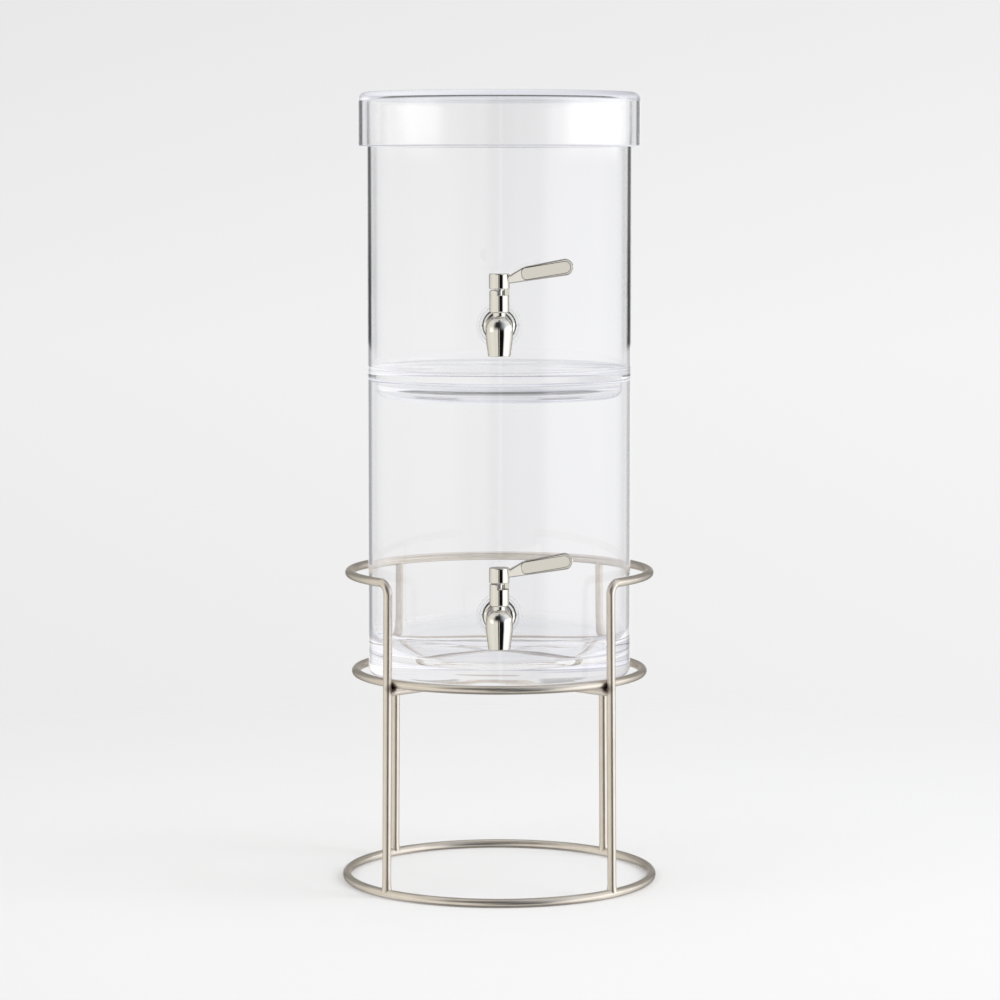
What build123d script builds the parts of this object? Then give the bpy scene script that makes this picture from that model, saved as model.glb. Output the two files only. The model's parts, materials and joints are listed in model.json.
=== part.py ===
"""Two stacked glass drink dispensers with metal taps and a glass cap, on a round wire stand.

Sizes are millimetres. +Z is up, the taps face -Y, and the origin is the point on the table
under the common axis of the rings and the vessels.
"""

import os
from math import atan2, cos, degrees, radians, sin, sqrt

from build123d import *

# Wire stand
rod_diameter = 6.35
seat_height = 153.2
hoop_rise = 75.8
hoop_bend_radius = 8.5
front_leg_angle = 46.0
back_leg_angle = 45.0
leg_splay = 0.0095
seat_clearance = 6.1
weld_sink = 0.6
saddle_share = 0.65

# Glass vessels
vessel_radius = 97.0
vessel_wall = 2.4
vessel_height = 219.0
lower_base = 14.0
lower_bottom_round = 5.0
heel_width = 14.0
heel_height = 22.0
rim_outer_round = 1.1
rim_inner_round = 0.7
foot_depth = 14.0
foot_clearance = 4.0
foot_bottom_round = 7.0
foot_root_round = 1.2
shoulder_round = 1.2
upper_web = 6.7
upper_floor_round = 3.0
punt_depth = 1.6
punt_margin = 6.0
rest_gap = 0.2

# Glass cap
lid_clearance = 3.5
lid_wall = 3.0
lid_top = 4.0
lid_skirt = 35.5
lid_outer_round = 5.0
lid_inner_round = 2.5
lid_lip_round = 1.0

# Tap, levels measured from the shank axis
lower_tap_height = 54.6
upper_tap_height = 56.6
tap_reach = 25.5
shank_radius = 7.9
shank_bore_radius = 3.4
shank_tail = 2.2
shank_chamfer = 0.8
hole_clearance = 0.6
barrel_step = 0.3
flange_radius = 11.3
flange_thickness = 3.0
flange_round = 2.4
spout_drop = 20.5
belly_drop = 9.0
spout_flare = 1.55
belly_height = 10.5
belly_tuck = 0.1
spout_wall = 1.9
spout_lip_round = 0.6
outlet_radius = 5.9
dome_height = 5.8
neck_wall = 0.75
neck_cove = 1.4
neck_height = 2.9
tube_wall = 3.05
tube_height = 15.9
tube_round = 1.3
tube_lip_round = 1.0
notch_depth = 3.8

# Sealing stack on the shank
gasket_radius = 16.35
gasket_bore_clearance = 0.15
front_gasket_thickness = 1.8
rear_gasket_radius = 14.0
rear_gasket_thickness = 2.4
washer_radius = 12.0
washer_thickness = 1.5
nut_across_flats = 22.0
nut_thickness = 7.0
nut_chamfer = 1.0
thread_clearance = 0.05

# Valve spindle
spindle_radius = 3.8
running_clearance = 0.05
port_radius = 2.6
drain_radius = 1.9
seal_land = 1.8
seal_groove_width = 1.9
seal_groove_depth = 1.1
seal_clearance = 0.03
clip_thickness = 0.8
clip_play = 0.3
clip_groove_depth = 0.7
clip_radius = 5.2
clip_mouth = 4.0
spindle_tail = 1.2
stem_radius = 2.6
stem_length = 7.4
collar_thickness = 0.8

# Lever
hub_overhang = 0.3
hub_gap = 0.7
hub_height = 10.8
hub_top_round = 0.8
hub_bottom_round = 0.8
paddle_length = 46.6
lever_rise = 9.6
lever_drop = 3.3
lever_thickness = 4.0
lever_edge_round = 0.9
paddle_half_width = 5.9
paddle_root_half_width = 4.7
neck_top_width = 1.2
neck_end = 8.0
flare_end = 18.5
flare_round = 14.0
panel_start = 16.6
panel_end = 48.6
panel_half_width = 4.0
panel_depth = 0.5
lug_half_angle = 12.0
lug_clearance_angle = 1.5
lug_gap = 0.3
lever_turn = 90.0
set_screw_radius = 1.5
set_screw_recess = 0.4
set_screw_height = 4.2
set_screw_key = 1.5
set_screw_key_depth = 1.6

# Levels and radii that follow from the sizes above
rod_radius = rod_diameter / 2
seat_ring_radius = vessel_radius + seat_clearance + rod_radius
stand_radius = seat_ring_radius + rod_diameter - weld_sink
bar_level = seat_height - rod_radius
seat_ring_level = bar_level + rod_diameter - weld_sink
hoop_level = seat_height + hoop_rise
base_ring_radius = stand_radius + leg_splay * (seat_ring_level - rod_radius)
hoop_corner_radius = stand_radius - leg_splay * (hoop_level - seat_ring_level)
saddle_lift = rod_radius * (1 - saddle_share)

vessel_bore = vessel_radius - vessel_wall
foot_radius = vessel_bore - foot_clearance
lower_bottom = seat_height + rest_gap
lower_rim = lower_bottom + vessel_height
shoulder_level = lower_rim + rest_gap
upper_bottom = shoulder_level - foot_depth
upper_rim = upper_bottom + vessel_height
lid_underside = upper_rim + rest_gap

tap_front = vessel_radius + tap_reach
flange_back = vessel_radius + front_gasket_thickness
flange_front = flange_back + flange_thickness
rear_seat = vessel_bore - rear_gasket_thickness
nut_seat = rear_seat - washer_thickness
nut_end = nut_seat - nut_thickness
shank_end = nut_end - shank_tail
barrel_radius = shank_radius + barrel_step
gasket_bore = shank_radius + gasket_bore_clearance

chamber_radius = spindle_radius + running_clearance
neck_radius = chamber_radius + neck_wall
tube_radius = chamber_radius + tube_wall
spout_end_radius = outlet_radius + spout_wall
spout_radius = spout_end_radius + spout_flare
belly_radius = spout_radius - belly_tuck
belly_top = belly_height - belly_drop
dome_top = belly_top + dome_height
tube_bottom = dome_top + neck_height
tube_top = tube_bottom + tube_height
notch_floor = tube_top - notch_depth
seal_offset = port_radius + seal_land + seal_groove_width / 2
chamber_floor = -(seal_offset + seal_groove_width / 2 + seal_land)
clip_top = chamber_floor - clip_play
clip_bottom = clip_top - clip_thickness
spindle_end = clip_bottom - spindle_tail
clip_bore = spindle_radius - clip_groove_depth

hub_bottom = tube_top + hub_gap
hub_top = hub_bottom + hub_height
hub_radius = tube_radius + hub_overhang
lever_level = hub_top - lever_drop
paddle_taper = (paddle_half_width - paddle_root_half_width) / paddle_length
flare_half_width = paddle_root_half_width + paddle_taper * flare_end
set_screw_level = hub_bottom + set_screw_height

os.makedirs("parts", exist_ok=True)


def keep(piece, name):
    """Name a finished piece and write its file."""
    piece.part.label = name
    export_step(piece.part, f"parts/{name}.step")
    print(f"{name}: {len(piece.part.solids())} solid, {piece.part.volume:.0f} mm3")


def on_leg(x_side, y_side, angle, level):
    """The point at a level on the axis of a leg, which leans outward to the table."""
    reach = stand_radius + leg_splay * (seat_ring_level - level)
    return Vector(x_side * reach * sin(radians(angle)), y_side * reach * cos(radians(angle)), level)


def corner(profile, x, y):
    """The corner of a sketch that lies nearest to a point of its own plane."""
    return profile.vertices().sort_by_distance((x, y))[0]


def ring_sector(inner, outer, start, size):
    """A piece of a flat ring between two radii, from a start angle over a turn."""
    with BuildSketch() as sector:
        with BuildLine():
            outer_arc = CenterArc((0, 0), outer, start, size)
            inner_arc = CenterArc((0, 0), inner, start, size)
            Line(outer_arc @ 0, inner_arc @ 0)
            Line(outer_arc @ 1, inner_arc @ 1)
        make_face()
    return sector.sketch


# Base ring: a full circle of wire on the table
with BuildPart() as base_ring:
    with BuildSketch(Plane.XZ):
        with Locations((base_ring_radius, rod_radius)):
            Circle(rod_radius)
    revolve(axis=Axis.Z)
keep(base_ring, "base_ring")

# Seat ring: a smaller circle of wire inside the legs, round the foot of the lower vessel
with BuildPart() as seat_ring:
    with BuildSketch(Plane.XZ):
        with Locations((seat_ring_radius, seat_ring_level)):
            Circle(rod_radius)
    revolve(axis=Axis.Z)
keep(seat_ring, "seat_ring")

# Front hoop: one wire, up the left front leg, round the back and down the right front leg
leg_foot = rod_radius + saddle_lift
hoop_radius = sqrt(hoop_corner_radius**2 - hoop_bend_radius**2)
hoop_end_angle = front_leg_angle + degrees(atan2(hoop_bend_radius, hoop_radius))
hoop_end_x = hoop_radius * sin(radians(hoop_end_angle))
hoop_end_y = hoop_radius * cos(radians(hoop_end_angle))
left_foot = on_leg(-1, -1, front_leg_angle, leg_foot)
left_corner = on_leg(-1, -1, front_leg_angle, hoop_level)
right_foot = on_leg(1, -1, front_leg_angle, leg_foot)
right_corner = on_leg(1, -1, front_leg_angle, hoop_level)

with BuildPart() as front_hoop:
    with BuildLine() as hoop_path:
        left_leg = Line(left_foot, left_corner + (left_foot - left_corner).normalized() * hoop_bend_radius)
        left_bend = TangentArc(left_leg @ 1, (-hoop_end_x, -hoop_end_y, hoop_level), tangent=left_leg % 1)
        hoop_back = (0, hoop_radius, hoop_level)
        round_back = ThreePointArc(left_bend @ 1, hoop_back, (hoop_end_x, -hoop_end_y, hoop_level))
        bend_end = right_corner + (right_foot - right_corner).normalized() * hoop_bend_radius
        right_bend = TangentArc(round_back @ 1, bend_end, tangent=round_back % 1)
        Line(right_bend @ 1, right_foot)
    with BuildSketch(Plane(origin=left_foot, z_dir=left_leg % 0)):
        Circle(rod_radius)
    sweep(path=hoop_path.wire())
    add(base_ring.part, mode=Mode.SUBTRACT)
    add(seat_ring.part, mode=Mode.SUBTRACT)
keep(front_hoop, "front_hoop")

# Back legs: straight wires, saddled on the base ring and under the hoop
back_leg_top = hoop_level - saddle_lift
back_legs = []
for side, side_name in ((-1, "left"), (1, "right")):
    back_foot = on_leg(side, 1, back_leg_angle, leg_foot)
    back_run = on_leg(side, 1, back_leg_angle, back_leg_top) - back_foot
    with BuildPart() as back_leg:
        with BuildSketch(Plane(origin=back_foot, z_dir=back_run)):
            Circle(rod_radius)
        extrude(amount=back_run.length)
        add(base_ring.part, mode=Mode.SUBTRACT)
        add(seat_ring.part, mode=Mode.SUBTRACT)
        add(front_hoop.part, mode=Mode.SUBTRACT)
    back_legs.append(back_leg.part)
    keep(back_leg, f"back_leg_{side_name}")

# Cross bars: an X from leg to leg under the seat ring, one bar whole and one in two halves
front_end = on_leg(1, -1, front_leg_angle, bar_level)
back_end = on_leg(-1, 1, back_leg_angle, bar_level)
along = (front_end - back_end).normalized()
crossing = back_end + along * (-back_end.X / along.X)
bar_ends = {-1: back_end + along * saddle_lift, 1: front_end - along * saddle_lift}

whole_bar_start = Vector(-bar_ends[1].X, bar_ends[1].Y, bar_level)
whole_bar_run = Vector(-bar_ends[-1].X, bar_ends[-1].Y, bar_level) - whole_bar_start

with BuildPart() as cross_bar:
    with BuildSketch(Plane(origin=whole_bar_start, z_dir=whole_bar_run)):
        Circle(rod_radius)
    extrude(amount=whole_bar_run.length)
    add(seat_ring.part, mode=Mode.SUBTRACT)
    add(front_hoop.part, mode=Mode.SUBTRACT)
    for leg in back_legs:
        add(leg, mode=Mode.SUBTRACT)
keep(cross_bar, "cross_bar")

for side, side_name in ((-1, "left"), (1, "right")):
    half_bar_start = crossing + along * (side * saddle_lift)
    half_bar_run = bar_ends[side] - half_bar_start
    with BuildPart() as half_bar:
        with BuildSketch(Plane(origin=half_bar_start, z_dir=half_bar_run)):
            Circle(rod_radius)
        extrude(amount=half_bar_run.length)
        add(cross_bar.part, mode=Mode.SUBTRACT)
        add(seat_ring.part, mode=Mode.SUBTRACT)
        add(front_hoop.part, mode=Mode.SUBTRACT)
        for leg in back_legs:
            add(leg, mode=Mode.SUBTRACT)
    keep(half_bar, f"cross_bar_{side_name}_half")

# Lower vessel: a plain cylinder on the cross bars. Its wall swells to a heel over a thick base,
# which is hollowed a little below
lower_floor = lower_bottom + lower_base
lower_punt_radius = vessel_radius - lower_bottom_round - punt_margin
lower_shank_level = lower_bottom + lower_tap_height
hole_radius = shank_radius + hole_clearance

with BuildPart() as lower_vessel:
    with BuildSketch(Plane.XZ) as lower_profile:
        with BuildLine():
            punt_top = (0, lower_bottom + punt_depth)
            punt = TangentArc(punt_top, (lower_punt_radius, lower_bottom), tangent=(1, 0))
            heel_centre = (vessel_bore - heel_width, lower_floor + heel_height)
            EllipticalCenterArc(heel_centre, heel_width, heel_height, start_angle=270, arc_size=90)
            Polyline(
                punt @ 1,
                (vessel_radius, lower_bottom),
                (vessel_radius, lower_rim),
                (vessel_bore, lower_rim),
                (vessel_bore, lower_floor + heel_height),
            )
            Polyline((vessel_bore - heel_width, lower_floor), (0, lower_floor), punt_top)
        make_face()
        fillet(corner(lower_profile, vessel_radius, lower_bottom), lower_bottom_round)
        fillet(corner(lower_profile, vessel_radius, lower_rim), rim_outer_round)
        fillet(corner(lower_profile, vessel_bore, lower_rim), rim_inner_round)
    revolve(axis=Axis.Z)
    with BuildSketch(Plane(origin=(0, 0, lower_shank_level), z_dir=(0, -1, 0))):
        Circle(hole_radius)
    extrude(amount=tap_front, mode=Mode.SUBTRACT)
keep(lower_vessel, "lower_vessel")

# Upper vessel: the same cylinder, its base stepped in to a foot that nests in the lower rim
upper_floor = shoulder_level + upper_web
upper_punt_radius = foot_radius - foot_bottom_round - punt_margin
upper_shank_level = upper_bottom + upper_tap_height

with BuildPart() as upper_vessel:
    with BuildSketch(Plane.XZ) as upper_profile:
        with BuildLine():
            punt_top = (0, upper_bottom + punt_depth)
            punt = TangentArc(punt_top, (upper_punt_radius, upper_bottom), tangent=(1, 0))
            Polyline(
                punt @ 1,
                (foot_radius, upper_bottom),
                (foot_radius, shoulder_level),
                (vessel_radius, shoulder_level),
                (vessel_radius, upper_rim),
                (vessel_bore, upper_rim),
                (vessel_bore, upper_floor),
                (0, upper_floor),
                punt_top,
            )
        make_face()
        fillet(corner(upper_profile, foot_radius, upper_bottom), foot_bottom_round)
        fillet(corner(upper_profile, foot_radius, shoulder_level), foot_root_round)
        fillet(corner(upper_profile, vessel_radius, shoulder_level), shoulder_round)
        fillet(corner(upper_profile, vessel_radius, upper_rim), rim_outer_round)
        fillet(corner(upper_profile, vessel_bore, upper_rim), rim_inner_round)
        fillet(corner(upper_profile, vessel_bore, upper_floor), upper_floor_round)
    revolve(axis=Axis.Z)
    with BuildSketch(Plane(origin=(0, 0, upper_shank_level), z_dir=(0, -1, 0))):
        Circle(hole_radius)
    extrude(amount=tap_front, mode=Mode.SUBTRACT)
keep(upper_vessel, "upper_vessel")

# Lid: a flat glass cap that rests on the upper rim, with a skirt hanging outside the vessel
lid_bore = vessel_radius + lid_clearance
lid_radius = lid_bore + lid_wall
lid_level = lid_underside + lid_top
skirt_level = lid_underside - lid_skirt

with BuildPart() as lid:
    with BuildSketch(Plane.XZ) as lid_profile:
        with BuildLine():
            Polyline(
                (0, lid_underside),
                (lid_bore, lid_underside),
                (lid_bore, skirt_level),
                (lid_radius, skirt_level),
                (lid_radius, lid_level),
                (0, lid_level),
                close=True,
            )
        make_face()
        fillet(corner(lid_profile, lid_bore, lid_underside), lid_inner_round)
        fillet(corner(lid_profile, lid_radius, lid_level), lid_outer_round)
        fillet(corner(lid_profile, lid_bore, skirt_level), lid_lip_round)
        fillet(corner(lid_profile, lid_radius, skirt_level), lid_lip_round)
    revolve(axis=Axis.Z)
keep(lid, "lid")

# Taps: the same set of pieces on each vessel
notch_start = -lever_turn - lug_half_angle - lug_clearance_angle
notch_size = lever_turn + 2 * (lug_half_angle + lug_clearance_angle)
notch_face = ring_sector(chamber_radius / 2, tube_radius + hub_overhang, notch_start, notch_size)
lug_bore = chamber_radius + running_clearance
lug_face = ring_sector(lug_bore, tube_radius, -lug_half_angle, 2 * lug_half_angle)
rise_x = cos(radians(lever_rise))
rise_z = sin(radians(lever_rise))

for tier, shank_level in (("lower", lower_shank_level), ("upper", upper_shank_level)):
    tap_plane = Plane(origin=(0, -tap_front, shank_level), x_dir=(1, 0, 0), z_dir=(0, -1, 0))
    tap_axis = Axis((0, -tap_front, shank_level), (0, 0, 1))
    shank_axis = Axis((0, 0, shank_level), (0, 1, 0))
    shank_plane = Plane.XY.offset(shank_level)

    # Tap body: spout, neck and valve tube turned about the tap axis, flange and shank about the shank axis
    with BuildPart() as tap_body:
        with BuildSketch(tap_plane) as spout_profile:
            with BuildLine():
                taper = Line((spout_end_radius, -spout_drop), (spout_radius, -belly_drop))
                belly = TangentArc(taper @ 1, (belly_radius, belly_top), tangent=taper % 1)
                dome = TangentArc(belly @ 1, (neck_radius, dome_top), tangent=belly % 1)
                Polyline(
                    dome @ 1,
                    (neck_radius, tube_bottom),
                    (tube_radius, tube_bottom),
                    (tube_radius, tube_top),
                    (0, tube_top),
                    (0, -spout_drop),
                    taper @ 0,
                )
            make_face()
            fillet(corner(spout_profile, spout_end_radius, -spout_drop), spout_lip_round)
            fillet(corner(spout_profile, neck_radius, dome_top), neck_cove)
            fillet(corner(spout_profile, tube_radius, tube_bottom), tube_round)
            fillet(corner(spout_profile, tube_radius, tube_top), tube_lip_round)
        revolve(axis=tap_axis)
        with BuildSketch(shank_plane) as shank_profile:
            with BuildLine():
                Polyline(
                    (0, -tap_front),
                    (barrel_radius, -tap_front),
                    (barrel_radius, -flange_front),
                    (flange_radius, -flange_front),
                    (flange_radius, -flange_back),
                    (shank_radius, -flange_back),
                    (shank_radius, -shank_end),
                    (0, -shank_end),
                    close=True,
                )
            make_face()
            fillet(corner(shank_profile, flange_radius, -flange_front), flange_round)
            chamfer(corner(shank_profile, shank_radius, -shank_end), shank_chamfer)
        revolve(axis=shank_axis)
        with BuildSketch(tap_plane):
            with BuildLine():
                Polyline(
                    (0, -spout_drop),
                    (outlet_radius, -spout_drop),
                    (outlet_radius, chamber_floor),
                    (chamber_radius, chamber_floor),
                    (chamber_radius, tube_top),
                    (0, tube_top),
                    close=True,
                )
            make_face()
        revolve(axis=tap_axis, mode=Mode.SUBTRACT)
        with BuildSketch(Plane(origin=(0, -shank_end, shank_level), z_dir=(0, -1, 0))):
            Circle(shank_bore_radius)
        extrude(amount=tap_front - shank_end, mode=Mode.SUBTRACT)
        with BuildSketch(Plane(origin=(0, -tap_front, shank_level + notch_floor))):
            add(notch_face)
        extrude(amount=notch_depth, mode=Mode.SUBTRACT)
    keep(tap_body, f"{tier}_tap_body")

    # Front gasket: flat against the flange, hollowed to the outside of the glass
    with BuildPart() as front_gasket:
        with BuildSketch(Plane(origin=(0, -flange_back, shank_level), z_dir=(0, 1, 0))):
            Circle(gasket_radius)
            Circle(gasket_bore, mode=Mode.SUBTRACT)
        extrude(amount=gasket_radius)
        with BuildSketch(Plane.XY.offset(shank_level - vessel_radius)):
            Circle(vessel_radius)
        extrude(amount=2 * vessel_radius, mode=Mode.SUBTRACT)
    keep(front_gasket, f"{tier}_front_gasket")

    # Rear gasket: flat against the washer, crowned to the inside of the glass
    with BuildPart() as rear_gasket:
        with BuildSketch(Plane(origin=(0, -rear_seat, shank_level), z_dir=(0, -1, 0))):
            Circle(rear_gasket_radius)
            Circle(gasket_bore, mode=Mode.SUBTRACT)
        extrude(amount=rear_gasket_radius)
        with BuildSketch(Plane.XY.offset(shank_level - vessel_radius)):
            Circle(vessel_bore)
        extrude(amount=2 * vessel_radius, mode=Mode.INTERSECT)
    keep(rear_gasket, f"{tier}_rear_gasket")

    # Washer and hexagon nut on the shank inside the vessel
    with BuildPart() as washer:
        with BuildSketch(Plane(origin=(0, -nut_seat, shank_level), z_dir=(0, -1, 0))):
            Circle(washer_radius)
            Circle(gasket_bore, mode=Mode.SUBTRACT)
        extrude(amount=washer_thickness)
    keep(washer, f"{tier}_washer")

    with BuildPart() as lock_nut:
        with BuildSketch(Plane(origin=(0, -nut_end, shank_level), z_dir=(0, -1, 0))):
            RegularPolygon(nut_across_flats / 2, 6, major_radius=False)
        extrude(amount=nut_thickness)
        nut_faces = lock_nut.faces().sort_by(Axis.Y)
        chamfer(nut_faces[-1].edges(), nut_chamfer)
        with BuildSketch(Plane(origin=(0, -nut_end, shank_level), z_dir=(0, -1, 0))):
            Circle(shank_radius + thread_clearance)
        extrude(amount=nut_thickness, mode=Mode.SUBTRACT)
    keep(lock_nut, f"{tier}_lock_nut")

    # Spindle: a plug that turns in the chamber, with a side port, a drain, grooves and a waist in the notch
    with BuildPart() as spindle:
        groove_radius = spindle_radius - seal_groove_depth
        with BuildSketch(tap_plane):
            with Locations((0, spindle_end)):
                Rectangle(spindle_radius, hub_bottom - spindle_end, align=(Align.MIN, Align.MIN))
            with Locations((0, hub_bottom)):
                Rectangle(stem_radius, stem_length, align=(Align.MIN, Align.MIN))
            with Locations((groove_radius, seal_offset), (groove_radius, -seal_offset)):
                Rectangle(
                    spindle_radius,
                    seal_groove_width,
                    align=(Align.MIN, Align.CENTER),
                    mode=Mode.SUBTRACT,
                )
            with Locations((stem_radius, notch_floor)):
                Rectangle(
                    spindle_radius,
                    hub_bottom - collar_thickness - notch_floor,
                    align=(Align.MIN, Align.MIN),
                    mode=Mode.SUBTRACT,
                )
            with Locations((clip_bore, clip_bottom)):
                Rectangle(
                    spindle_radius,
                    clip_thickness,
                    align=(Align.MIN, Align.MIN),
                    mode=Mode.SUBTRACT,
                )
        revolve(axis=tap_axis)
        with BuildSketch(Plane(origin=(0, -tap_front, shank_level + spindle_end))):
            Circle(drain_radius)
        extrude(amount=-spindle_end, mode=Mode.SUBTRACT)
        with BuildSketch(Plane(origin=(0, -tap_front, shank_level), z_dir=(-1, 0, 0))):
            Circle(port_radius)
        extrude(amount=2 * spindle_radius, mode=Mode.SUBTRACT)
    keep(spindle, f"{tier}_spindle")

    # Spindle seals: two O-rings in the grooves above and below the port
    with BuildPart() as spindle_seals:
        seal_section = (seal_groove_depth + running_clearance - 2 * seal_clearance) / 2
        seal_centre = chamber_radius - seal_clearance - seal_section
        with BuildSketch(tap_plane):
            with Locations((seal_centre, seal_offset), (seal_centre, -seal_offset)):
                Circle(seal_section)
        revolve(axis=tap_axis)
    keep(spindle_seals, f"{tier}_spindle_seals")

    # Spindle clip: an open ring under the chamber, pushed in from the side
    with BuildPart() as spindle_clip:
        with BuildSketch(Plane(origin=(0, -tap_front, shank_level + clip_bottom))):
            Circle(clip_radius)
            Circle(clip_bore + running_clearance, mode=Mode.SUBTRACT)
            Rectangle(2 * clip_radius, clip_mouth, align=(Align.MIN, Align.CENTER), mode=Mode.SUBTRACT)
        extrude(amount=clip_thickness)
    keep(spindle_clip, f"{tier}_spindle_clip")

    # Lever: a paddle that rises from a round hub, with a stop lug that hangs in the notch
    lever_plane = Plane(
        origin=(0, -tap_front, shank_level + lever_level),
        x_dir=(rise_x, 0, rise_z),
        z_dir=(0, -1, 0),
    )
    panel_length = panel_end - panel_start
    with BuildPart() as lever:
        with BuildSketch(lever_plane) as paddle_profile:
            with BuildLine():
                lower_edge = Line((0, -paddle_root_half_width), (paddle_length, -paddle_half_width))
                paddle_corner = (paddle_length, paddle_half_width)
                tip = TangentArc(lower_edge @ 1, paddle_corner, tangent=lower_edge % 1)
                Polyline(
                    tip @ 1,
                    (flare_end, flare_half_width),
                    (neck_end, neck_top_width),
                    (0, neck_top_width),
                    lower_edge @ 0,
                )
            make_face()
            fillet(corner(paddle_profile, flare_end, flare_half_width), flare_round)
        extrude(amount=lever_thickness / 2, both=True)
        fillet(lever.faces().filter_by(Axis.Y).edges(), lever_edge_round)
        with BuildSketch(lever_plane.offset(lever_thickness / 2)):
            with Locations(((panel_start + panel_end) / 2, 0)):
                SlotOverall(panel_length, 2 * panel_half_width)
        extrude(amount=-panel_depth, mode=Mode.SUBTRACT)
        with BuildSketch(Plane(origin=(0, -tap_front, shank_level + hub_bottom))):
            Circle(hub_radius)
        extrude(amount=hub_height)
        hub_edges = lever.edges().filter_by(GeomType.CIRCLE).filter_by(
            lambda edge: abs(edge.radius - hub_radius) < running_clearance
        )
        fillet(hub_edges.sort_by(Axis.Z)[-1], hub_top_round)
        fillet(hub_edges.sort_by(Axis.Z)[0], hub_bottom_round)
        with BuildSketch(Plane(origin=(0, -tap_front, shank_level + notch_floor + lug_gap))):
            add(lug_face)
        extrude(amount=hub_bottom + hub_bottom_round - notch_floor - lug_gap)
        with BuildSketch(Plane(origin=(0, -tap_front, shank_level + hub_bottom))):
            Circle(stem_radius + running_clearance)
        extrude(amount=stem_length + running_clearance, mode=Mode.SUBTRACT)
        with BuildSketch(Plane(origin=(0, -tap_front, shank_level + set_screw_level), z_dir=(0, 1, 0))):
            Circle(set_screw_radius + running_clearance)
        extrude(amount=2 * hub_radius, mode=Mode.SUBTRACT)
    keep(lever, f"{tier}_lever")

    # Set screw: a grub screw in the back of the hub, with a hexagon socket
    set_screw_length = hub_radius - set_screw_recess - stem_radius
    set_screw_seat = (0, -tap_front + stem_radius, shank_level + set_screw_level)
    set_screw_end = (0, -tap_front + stem_radius + set_screw_length, shank_level + set_screw_level)
    with BuildPart() as set_screw:
        with BuildSketch(Plane(origin=set_screw_seat, z_dir=(0, 1, 0))):
            Circle(set_screw_radius)
        extrude(amount=set_screw_length)
        with BuildSketch(Plane(origin=set_screw_end, z_dir=(0, -1, 0))):
            RegularPolygon(set_screw_key / 2, 6, major_radius=False)
        extrude(amount=set_screw_key_depth, mode=Mode.SUBTRACT)
    keep(set_screw, f"{tier}_set_screw")
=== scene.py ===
# %% [markdown]
# # Two glass drink dispensers, stacked on a wire stand
#
# The real object is a tower: a satin wire stand, a plain glass cylinder with a tap, a second glass
# cylinder whose stepped foot nests in the first, and a glass cap. This lesson models and finishes
# every piece that shows, in metres, round a frame of solids that already have the right size and
# place. The taps look towards -Y, and their levers point to +X when they are closed.

# %% Load the frame and keep its box
import json
from math import asin, atan2, cos, pi, radians, sin, sqrt, tan, tau

import bmesh
import bpy
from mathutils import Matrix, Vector

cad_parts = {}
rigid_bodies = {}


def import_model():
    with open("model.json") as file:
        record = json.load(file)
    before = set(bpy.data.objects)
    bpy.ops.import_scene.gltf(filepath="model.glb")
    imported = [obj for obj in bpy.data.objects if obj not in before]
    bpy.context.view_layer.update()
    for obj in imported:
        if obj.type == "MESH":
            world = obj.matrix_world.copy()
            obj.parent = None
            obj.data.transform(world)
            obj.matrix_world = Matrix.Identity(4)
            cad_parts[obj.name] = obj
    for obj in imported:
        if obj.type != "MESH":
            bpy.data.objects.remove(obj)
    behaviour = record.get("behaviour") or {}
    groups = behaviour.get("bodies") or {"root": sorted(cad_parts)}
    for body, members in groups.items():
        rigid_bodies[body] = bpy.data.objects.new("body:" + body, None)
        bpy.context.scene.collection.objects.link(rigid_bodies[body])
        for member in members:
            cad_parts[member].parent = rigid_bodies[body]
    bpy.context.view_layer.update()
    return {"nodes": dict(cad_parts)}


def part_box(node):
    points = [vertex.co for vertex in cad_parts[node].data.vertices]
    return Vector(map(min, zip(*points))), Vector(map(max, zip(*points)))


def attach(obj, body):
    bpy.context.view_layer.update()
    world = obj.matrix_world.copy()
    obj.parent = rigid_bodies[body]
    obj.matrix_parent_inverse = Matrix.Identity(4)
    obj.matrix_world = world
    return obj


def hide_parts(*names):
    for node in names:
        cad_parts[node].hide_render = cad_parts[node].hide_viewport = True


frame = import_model()
MM = 0.001

# %% [markdown]
# ## A few tools for modelling by hand
#
# Most pieces of this object are round: glass from a mould, taps from a lathe, rings from a bender.
# So one tool draws a half section, rounds its corners and spins it about an axis. A person would do
# the same with a plane merged to one vertex, a chain of extrudes, vertex bevels and Spin. Corners are
# found again by their place, because every bevel renumbers the vertices.

# %% Tools: draw a line of vertices and round its corners
MERGE_DISTANCE = 1e-6


def deselect():
    """Let go of every object, because an operator acts on all that is selected."""
    bpy.ops.object.select_all(action="DESELECT")


def set_mode(mode):
    bpy.ops.object.mode_set(mode=mode)


def start_vertex(name, place):
    """Add a plane, merge it to a single vertex at a place, and stay in edit mode."""
    deselect()
    bpy.ops.mesh.primitive_plane_add(size=MM)
    piece = bpy.context.object
    piece.name = name
    set_mode("EDIT")
    bpy.ops.mesh.select_mode(type="VERT")
    bpy.ops.mesh.select_all(action="SELECT")
    bpy.ops.mesh.merge(type="CENTER")
    bpy.ops.transform.translate(value=place)
    return piece


def select_places(piece, test):
    """In edit mode, select the vertices whose place passes a test, and nothing else."""
    bpy.ops.mesh.select_mode(type="VERT")
    bpy.ops.mesh.select_all(action="DESELECT")
    edited = bmesh.from_edit_mesh(piece.data)
    for vertex in edited.verts:
        vertex.select = test(vertex.co)
    edited.select_flush(True)
    bmesh.update_edit_mesh(piece.data)


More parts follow.
